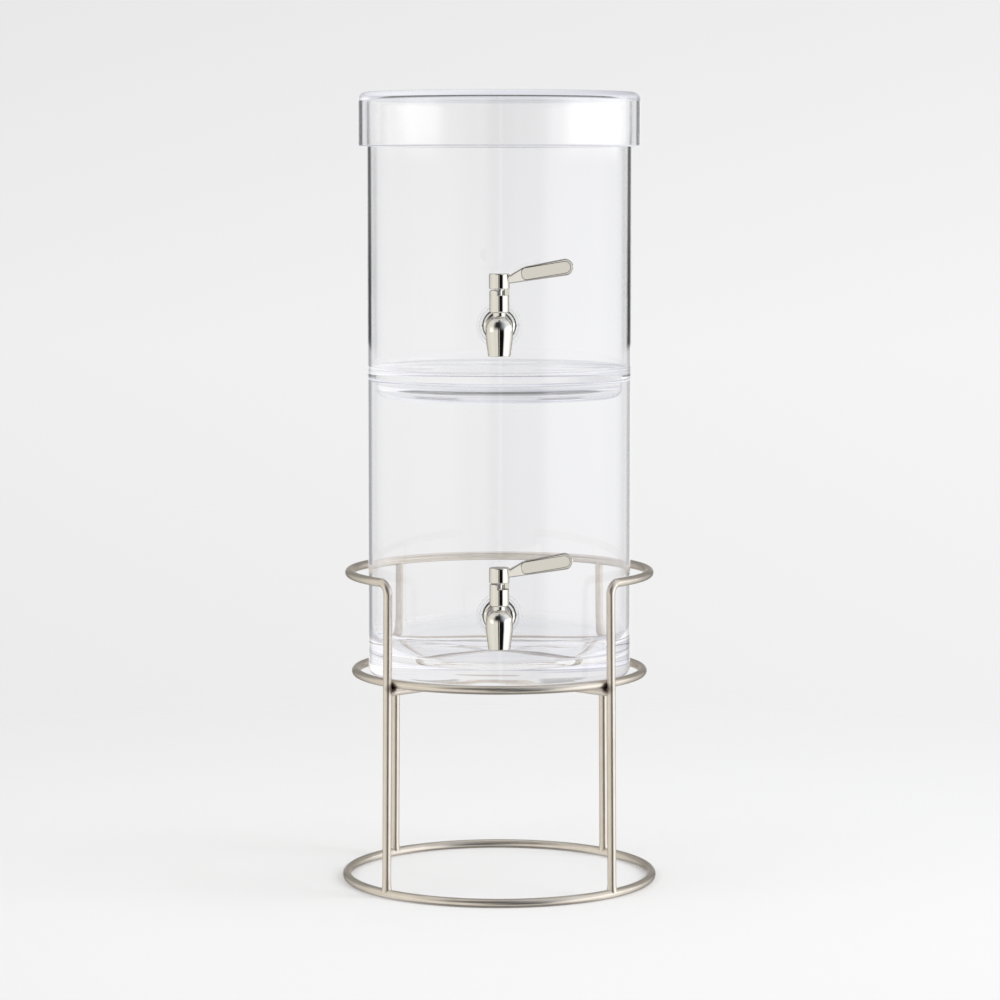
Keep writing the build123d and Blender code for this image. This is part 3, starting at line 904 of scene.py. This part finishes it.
# %% Lever: paddle
lever_rise = radians(9.6)
hub_gap = 0.7 * MM
hub_bottom = tube_top + hub_gap
hub_height = 10.8 * MM
lever_drop = 3.3 * MM
paddle_length = 46.6 * MM
lever_thickness = 4.0 * MM
lever_edge_round = 0.9 * MM
paddle_half_width = 5.9 * MM
paddle_root_half_width = 4.7 * MM
neck_top_width = 1.2 * MM
neck_end = 8.0 * MM
flare_end = 18.5 * MM
flare_round = 14.0 * MM
hub_top = hub_bottom + hub_height
lever_root = tap_axis + Vector((0, 0, hub_top - lever_drop))
along = Vector((cos(lever_rise), 0, sin(lever_rise)))
upward = Vector((-sin(lever_rise), 0, cos(lever_rise)))


def slab(name, outline, rounds, front, thickness):
    """A flat plate in the lever's plane: an outline, filled and pulled back to its thickness."""
    face = lever_root + Vector((0, front, 0))
    places = [face + along * reach + upward * rise for reach, rise in outline]
    return plate(name, places, rounds, (0, thickness, 0))


paddle_taper = (paddle_half_width - paddle_root_half_width) / paddle_length
flare_half_width = paddle_root_half_width + paddle_taper * flare_end
low_corner, high_corner = (paddle_length, -paddle_half_width), (paddle_length, paddle_half_width)
tip, _ = tangent_arc(low_corner, (1, -paddle_taper), high_corner, 24)
outline = [
    (0, -paddle_root_half_width),
    *tip,
    (flare_end, flare_half_width),
    (neck_end, neck_top_width),
    (0, neck_top_width),
]
paddle_rounds = {len(tip) + 1: (flare_round, 6)}
lever = slab("lower_lever_metal", outline, paddle_rounds, -lever_thickness / 2, lever_thickness)
apply_modifier(
    lever, "BEVEL", width=lever_edge_round, segments=4, limit_method="ANGLE", angle_limit=radians(60)
)
print("paddle of", len(lever.data.polygons), "faces")

# %% Lever: sunk panel
panel_start = 15.6 * MM
panel_end = 51.0 * MM
panel_half_width = 4.4 * MM
panel_depth = 0.5 * MM
panel_wall = 0.5 * MM
panel_corner_round = 3.4 * MM
outline = [
    (panel_start, -panel_half_width),
    (panel_end, -panel_half_width),
    (panel_end, panel_half_width),
    (panel_start, panel_half_width),
]
panel_rounds = {
    0: (panel_corner_round, 8),
    1: (panel_half_width, 12),
    2: (panel_half_width, 12),
    3: (panel_corner_round, 8),
}
panel = slab("panel", outline, panel_rounds, -lever_thickness / 2 - overcut, overcut)
lever_face = lever_root.y - lever_thickness / 2
panel_floor = lever_face + panel_depth
set_mode("EDIT")
select_places(panel, lambda co: abs(co.y - lever_face) < MERGE_DISTANCE)
bpy.ops.mesh.inset(thickness=panel_wall, depth=panel_depth)
set_mode("OBJECT")
cutter_reach = max(vertex.co.y for vertex in panel.data.vertices) - lever_face
print("panel is", round(cutter_reach, 5), "m deep")
combine(lever, panel, "DIFFERENCE")

# %% Lever: hub, lug and holes
hub_radius = tube_radius + hub_overhang
hub_top_round = 0.8 * MM
hub_bottom_round = 0.8 * MM
lug_gap = 0.3 * MM
lug_bore = 3.9 * MM
stem_bore = 2.65 * MM
stem_hole_depth = 7.45 * MM
set_screw_bore = 1.55 * MM
set_screw_level = hub_bottom + 4.2 * MM

section = [(0, hub_bottom), (hub_radius, hub_bottom), (hub_radius, hub_top), (0, hub_top)]
hub = turn("hub", section, {1: (hub_bottom_round, 3), 2: (hub_top_round, 5)}, tap_axis)
combine(lever, hub, "UNION")
lug_top = hub_bottom + hub_bottom_round
lug_floor = notch_floor + lug_gap
lug = sector("lug", lug_bore, tube_radius, lug_floor, lug_top, -lug_half_angle, 2 * lug_half_angle)
combine(lever, lug, "UNION")
drill(lever, stem_bore, hub_bottom - overcut, hub_bottom + stem_hole_depth, tap_axis, (0, 0, 1), 48)
screw_start = tap_axis + Vector((0, 0, set_screw_level))
drill(lever, set_screw_bore, 0, 2 * hub_radius, screw_start, (0, 1, 0), 32)
print("lever of", len(lever.data.polygons), "faces")

# %% [markdown]
# ## Gaskets, washer and nut
#
# Two soft clear rings seal the hole in the glass, one on each face. Each is flat on one side and follows
# the curve of the glass on the other, so a turned ring is cut by a cylinder of the glass's own size, with
# a hair of air between the two. A washer and a hexagon nut inside the vessel clamp the stack.

# %% Gaskets
gasket_bore = 8.05 * MM
gasket_radius = 16.35 * MM
gasket_edge_round = 0.9 * MM
rear_gasket_radius = 14.0 * MM
air_gap = 0.03 * MM
STACK_STEPS = 96
mid_wall = vessel_radius - vessel_wall / 2


def glass_cylinder(radius):
    deselect()
    bpy.ops.mesh.primitive_cylinder_add(
        vertices=GLASS_STEPS, radius=radius, depth=4 * gasket_radius, location=shank_centre
    )
    return bpy.context.object


def flat_ring(name, inner, outer, seat, far, round_size):
    """A ring about the shank's axis, its outer corner at the seat well rounded."""
    section = [(inner, seat), (outer, seat), (outer, far), (inner, far)]
    return turn(name, section, {1: (round_size, 5)}, shank_centre, forward, True, STACK_STEPS)


front_gasket = flat_ring(
    "lower_front_gasket_silicone", gasket_bore, gasket_radius, flange_back, mid_wall, gasket_edge_round
)
combine(front_gasket, glass_cylinder(vessel_radius + air_gap), "DIFFERENCE")
rear_gasket = flat_ring(
    "lower_rear_gasket_silicone", gasket_bore, rear_gasket_radius, rear_seat, mid_wall, gasket_edge_round
)
combine(rear_gasket, glass_cylinder(vessel_bore - air_gap), "INTERSECT")
print("gaskets of", len(front_gasket.data.polygons), "and", len(rear_gasket.data.polygons), "faces")

# %% Washer and nut
washer_radius = 12.0 * MM
washer_edge_round = 0.35 * MM
nut_across_flats = 22.0 * MM
nut_chamfer = 1.0 * MM
nut_bore = 7.95 * MM

washer = flat_ring("lower_washer_steel", gasket_bore, washer_radius, nut_seat, rear_seat, washer_edge_round)
nut_corner = nut_across_flats / 2 / cos(pi / 6)
turns = [side * pi / 3 for side in range(6)]
corners = [shank_centre + Vector((cos(angle), 0, sin(angle))) * nut_corner for angle in turns]
nut_face = Vector((0, -nut_end, 0))
nut = plate("lower_lock_nut_steel", [place + nut_face for place in corners], {}, (0, -nut_thickness, 0))
section = [
    (0, nut_end),
    (nut_across_flats / 2, nut_end),
    (nut_corner + nut_chamfer, nut_end + 2 * nut_chamfer),
    (nut_corner + nut_chamfer, nut_seat + overcut),
    (0, nut_seat + overcut),
]
combine(nut, turn("nut_turning", section, None, shank_centre, forward, steps=STACK_STEPS), "INTERSECT")
drill(nut, nut_bore, nut_end - overcut, nut_seat + overcut, shank_centre, forward, STACK_STEPS)
print("nut", [round(side, 4) for side in nut.dimensions])

# %% [markdown]
# ## Finishes of the small pieces
#
# The gaskets are clear silicone: soft, very slightly milky, and duller than glass. The valve parts are
# turned steel with fine rings from the tool, and the seals are black rubber with a dusty bloom.

# %% Silicone, turned steel and rubber
milky_silicone = make_mottled(
    "milky_silicone", (1, 1, 1), 160.0, 2.0, [(0.3, (0.97, 0.975, 0.97)), (0.7, (0.99, 0.99, 0.99))],
    (0.1, 0.18), {"IOR": 1.12, "Transmission Weight": 0.97},
)
turned_steel = make_mottled(
    "turned_steel", (60, 3000, 3000), 1.0, 2.0, [(0.25, (0.76, 0.76, 0.75)), (0.75, (0.86, 0.86, 0.85))],
    (0.18, 0.34), {"Metallic": 1.0},
)
black_rubber = make_mottled(
    "black_rubber", (1, 1, 1), 900.0, 4.0, [(0.3, (0.012, 0.012, 0.012)), (0.8, (0.04, 0.04, 0.04))],
    (0.5, 0.8), {},
)
print("finishes", milky_silicone.name, turned_steel.name, black_rubber.name)

# %% [markdown]
# ## Two taps
#
# Both vessels carry the same tap, so the finished pieces are copied up by the distance between the two
# shanks, each copy with its own mesh. The valve's inner pieces keep their solids, which are right as they
# are, and only get their finishes.

# %% Copy the tap up and settle both
tap_pieces = [
    (tap_body, "tap_body", "vessel", [polished_nickel], "tap_metal"),
    (lever, "lever", "lever", [polished_nickel, panel_nickel, recess_shade_nickel], "tap_metal"),
    (front_gasket, "front_gasket", "vessel", [milky_silicone], "clear_silicone"),
    (rear_gasket, "rear_gasket", "vessel", [milky_silicone], "clear_silicone"),
    (washer, "washer", "vessel", [turned_steel], "valve_metal"),
    (nut, "lock_nut", "vessel", [turned_steel], "valve_metal"),
]
PANEL_SLOT, RECESS_SHADE_SLOT = 1, 2
tier_lift = Vector((0, 0, upper_shank - lower_shank))
for piece, node, body, finishes, slot in tap_pieces:
    twin = copy_of(piece, piece.name.replace("lower", "upper"))
    bpy.ops.transform.translate(value=tier_lift)
    bpy.ops.object.transform_apply(location=True, rotation=False, scale=False)
    settle(piece, finishes, f"lower_{body}", slot, f"lower_{node}")
    settle(twin, finishes, f"upper_{body}", slot, f"upper_{node}")
    # The walls round each sunk panel take the painted recess shade, and the panel's floor takes its own
    # nickel.
    for made in (piece, twin) if piece is lever else ():
        pick(made)
        set_mode("EDIT")
        select_places(made, lambda co: abs(co.y - panel_floor) < MERGE_DISTANCE)
        bpy.ops.mesh.select_more()
        made.active_material_index = RECESS_SHADE_SLOT
        bpy.ops.object.material_slot_assign()
        select_places(made, lambda co: abs(co.y - panel_floor) < MERGE_DISTANCE)
        made.active_material_index = PANEL_SLOT
        bpy.ops.object.material_slot_assign()
        set_mode("OBJECT")
        recessed = sum(face.material_index == RECESS_SHADE_SLOT for face in made.data.polygons)
        print(made.name, "has", recessed, "faces round its panel")

for tier in ("lower", "upper"):
    for node, finish in (
        ("spindle", turned_steel),
        ("spindle_clip", turned_steel),
        ("set_screw", turned_steel),
        ("spindle_seals", black_rubber),
    ):
        solid = frame["nodes"][f"{tier}_{node}"]
        solid.data.materials.clear()
        solid.data.materials.append(finish)

# %% [markdown]
# ## Stage: the floor
#
# The tower stands on a pale table top that runs out of sight behind it. A wide disc stands for the table.
# It keeps the soft shadow of the stand, and far out it fades into the backdrop, so no horizon shows. It is
# left out of reflections, because the painted room below has its own table.

# %% Floor
floor_radius = 1.6
deselect()
bpy.ops.mesh.primitive_circle_add(vertices=128, radius=floor_radius, fill_type="NGON")
floor = bpy.context.object
floor.name = "floor"
floor.visible_glossy = False

pale_floor, shader, add, link, place = new_finish("pale_floor")
reach = add("VectorMath", {0: place}, "Value", operation="LENGTH")
fade = spread(add, reach, 0, 1, 0.2, 1.2, interpolation_type="SMOOTHSTEP")
shader.inputs["Base Color"].default_value = (0.92, 0.92, 0.92, 1)
shader.inputs["Roughness"].default_value = 0.9
shader.inputs["Specular IOR Level"].default_value = 0.0
faded = add("MixShader", {"Fac": fade, 1: shader.outputs["BSDF"], 2: add("BsdfTransparent")})
output = pale_floor.node_tree.nodes["Material Output"]
pale_floor.node_tree.links.new(faded, output.inputs["Surface"])
floor.data.materials.append(pale_floor)
print("floor of", floor_radius, "m")

# %% [markdown]
# ## Stage: the painted room
#
# Glass and polished metal show little of themselves and much of the room. So the world is painted as a
# small studio: a pale backdrop behind, a warm white wall on the left, a bright window on the right, and
# a dark gap on the camera's side. That gap makes the black stripe down each tap. The room is painted round
# the horizon with colour ramps, and blended by height. Glass gets rooms of its own: dark flags beside the
# backdrop draw its edges, and two bright boxes, left and right, light it and the wires from the sides.

# %% World: which way a ray looks
world = bpy.data.worlds.new("studio")
bpy.context.scene.world = world
world.use_nodes = True
paint = node_maker(world.node_tree)
sight = paint("SeparateXYZ", {"Vector": paint("TexCoord", output="Generated")}).node.outputs
bearing = maths(paint, "ARCTAN2", sight["X"], maths(paint, "MULTIPLY", sight["Y"], -1.0))
share = spread(paint, bearing, 0, 1, -pi, pi)


def round_room(steps):
    """Colours round the horizon: (degrees to the right of the camera's side, colour) steps."""
    return ramp(paint, share, [((angle + 180) / 360, colour) for angle, colour in steps])


def blend(low, high, below, above):
    """One colour under a height of view in degrees, another over a second height, soft between."""
    limits = sin(radians(low)), sin(radians(high))
    factor = spread(paint, sight["Z"], 0, 1, *limits, interpolation_type="SMOOTHSTEP")
    return mix(paint, factor, below, above)


def grey(level):
    return (level, level, level)


# %% World: what metal and glass reflect
warm = (0.84, 0.815, 0.765)
bright_warm = (0.90, 0.875, 0.82)
face_strip = (0.90, 0.885, 0.86)
low_room = round_room([
    (-180, grey(0.88)), (-166, grey(0.88)), (-163, grey(0.15)), (-153, grey(0.15)), (-148, grey(0.6)),
    (-132, grey(0.6)), (-120, warm),
    (-90, warm), (-72, bright_warm), (-56, bright_warm), (-38, warm), (-13, warm), (-6, grey(0.006)),
    (-0.75, grey(0.006)), (-0.45, face_strip), (1.6, face_strip), (1.9, grey(0.006)), (36, grey(0.006)),
    (45, grey(1.1)), (56, grey(1.3)), (94, grey(1.3)), (112, grey(0.95)), (122, grey(0.95)),
    (132, grey(0.6)), (148, grey(0.6)), (153, grey(0.15)), (163, grey(0.15)), (166, grey(0.88)),
    (180, grey(0.88)),
])
middle_room = round_room([
    (-180, grey(0.32)), (-128, grey(0.32)), (-112, warm), (-58, warm), (-42, grey(0.25)), (-30, grey(0.03)),
    (4, grey(0.03)), (14, (0.1, 0.11, 0.13)), (40, (0.45, 0.48, 0.53)), (70, (0.9, 0.93, 0.97)),
    (108, grey(0.95)), (126, grey(0.32)), (180, grey(0.32)),
])
boxes = round_room([
    (-180, grey(0)), (-92, grey(0)), (-80, grey(0.5)), (-58, grey(0.5)), (-46, grey(0)), (52, grey(0)),
    (66, grey(1.0)), (122, grey(1.0)), (130, grey(0)), (180, grey(0)),
])
boxes = blend(0.1, 0.7, (*grey(0), 1), boxes)
reflected = blend(2, 13, mix(paint, 1.0, low_room, boxes, "ADD"), middle_room)
overhead = round_room([
    (-180, grey(0.7)), (-32, grey(0.7)), (-14, grey(0.22)), (16, grey(0.22)), (34, grey(0.7)),
    (180, grey(0.7)),
])
reflected = blend(45, 70, reflected, overhead)
table = blend(-62, -44, (*grey(0.22), 1), (*grey(0.95), 1))
reflected = blend(-42, -30, table, reflected)

# %% World: what shows after many bounces inside the glass
inner_room = round_room([
    (-180, (0.86, 0.86, 0.91)), (-140, (0.6, 0.6, 0.66)), (-40, (0.66, 0.66, 0.72)), (0, (1.0, 1.0, 1.03)),
    (150, (1.1, 1.1, 1.13)), (180, (0.86, 0.86, 0.91)),
])
edge_room = blend(-1.3, -0.4, (*grey(0.06), 1), (*grey(0.3), 1))
inner_room = blend(0.2, 0.5, blend(-2.1, -1.9, inner_room, edge_room), inner_room)
inner_room = blend(38, 48, inner_room, (0.93, 0.925, 1.0, 1))
bounces_inside, mirrored_once = 2.5, 0.5
path = paint("LightPath").node.outputs
inside = maths(paint, "GREATER_THAN", path["Ray Depth"], bounces_inside)
reflected = mix(paint, inside, reflected, inner_room)

# %% World: what the camera sees, and what shows through the glass
backdrop = ramp(paint, spread(paint, sight["Z"], 0, 1, -0.3, 0.3), [
    (0.0, grey(0.85)), (0.25, grey(0.855)), (0.42, grey(0.89)), (0.58, grey(0.835)), (1.0, grey(0.82)),
])
lean = spread(paint, sight["X"], 0.97, 1.03, -0.15, 0.15)
backdrop = mix(paint, 1.0, backdrop, lean, "MULTIPLY")
white, tinted = (0.985, 0.985, 1.0), (0.8, 0.8, 0.84)


def flagged_room(flag):
    """White all round, with a dark flag beside each side of the backdrop and a dim front."""
    return round_room([
        (-180, white), (-169, white), (-167, flag), (-153, flag), (-149, white), (-75, white),
        (-60, grey(0.97)), (-14, grey(0.95)), (0, grey(0.6)), (28, grey(0.6)), (44, white),
        (149, white), (153, flag), (167, flag), (169, white), (180, white),
    ])


turned = blend(-3.1, -2.9, flagged_room(grey(0.6)), flagged_room(grey(0.02)))
turned = blend(1.7, 2.4, turned, flagged_room(white))
turned = mix(paint, 1.0, turned, boxes, "ADD")
straight = round_room([
    (-180, white), (-162, white), (-146, tinted), (-100, tinted), (-90, white), (180, white),
])
straight = blend(-2.9, -2.7, straight, (*white, 1))
glossed = maths(paint, "GREATER_THAN", path["Glossy Depth"], mirrored_once)
through = mix(paint, glossed, straight, turned)
high_side = round_room([
    (-180, (0.88, 0.88, 0.94)), (-165, (0.8, 0.8, 0.88)), (-40, (0.82, 0.82, 0.9)), (0, (1.12, 1.12, 1.19)),
    (150, (1.14, 1.14, 1.21)), (165, (0.9, 0.9, 0.96)), (180, (0.88, 0.88, 0.94)),
])
high_side = blend(28, 36, high_side, (*grey(0.2), 1))
through = mix(paint, 1.0, blend(8, 20, through, high_side), backdrop, "MULTIPLY")
lit = (*grey(0.73), 1)
for ray, colour in (
    ("Is Glossy Ray", reflected),
    ("Is Transmission Ray", through),
    ("Is Camera Ray", backdrop),
):
    lit = mix(paint, path[ray], lit, colour)
world.node_tree.links.new(lit, world.node_tree.nodes["Background"].inputs["Color"])
print("painted world of", len(world.node_tree.nodes), "nodes")

# %% [markdown]
# ## Stage: lamps and camera
#
# Two large soft boxes add the gentle shadow on the table. They are kept out of reflections, where the
# painted room has windows of its own. The camera looks slightly down from far away with a long lens.

# %% Lamps
def soft_box(name, place, target, size, watts, colour):
    """A rectangular lamp that lights matt surfaces only."""
    bpy.ops.object.light_add(type="AREA", location=place)
    holder = bpy.context.object
    holder.name = name
    holder.rotation_euler = (Vector(target) - Vector(place)).to_track_quat("-Z", "Y").to_euler()
    holder.visible_camera = False
    holder.visible_glossy = False
    holder.visible_transmission = False
    lamp = holder.data
    lamp.shape = "RECTANGLE"
    lamp.size, lamp.size_y = size
    lamp.energy = watts
    lamp.color = colour


soft_box("left_box", (-2.2, -1.6, 2.6), (0, 0, 0.1), (2.0, 2.0), 21, (1, 0.98, 0.95))
soft_box("right_box", (2.4, -0.8, 2.0), (0, 0, 0.1), (1.6, 2.0), 35, (0.97, 0.98, 1))

# %% Camera
camera_place = Vector((0.0005, -2.5925, 0.5216))
camera_target = Vector((0.0005, 0, 0.2822))
bpy.ops.object.camera_add(location=camera_place)
camera = bpy.context.object
camera.name = "front_camera"
camera.rotation_euler = (camera_target - camera_place).to_track_quat("-Z", "Y").to_euler()
camera.data.sensor_width = 36
camera.data.lens = 126.72
bpy.context.scene.camera = camera
bpy.context.scene.view_settings.view_transform = "Standard"
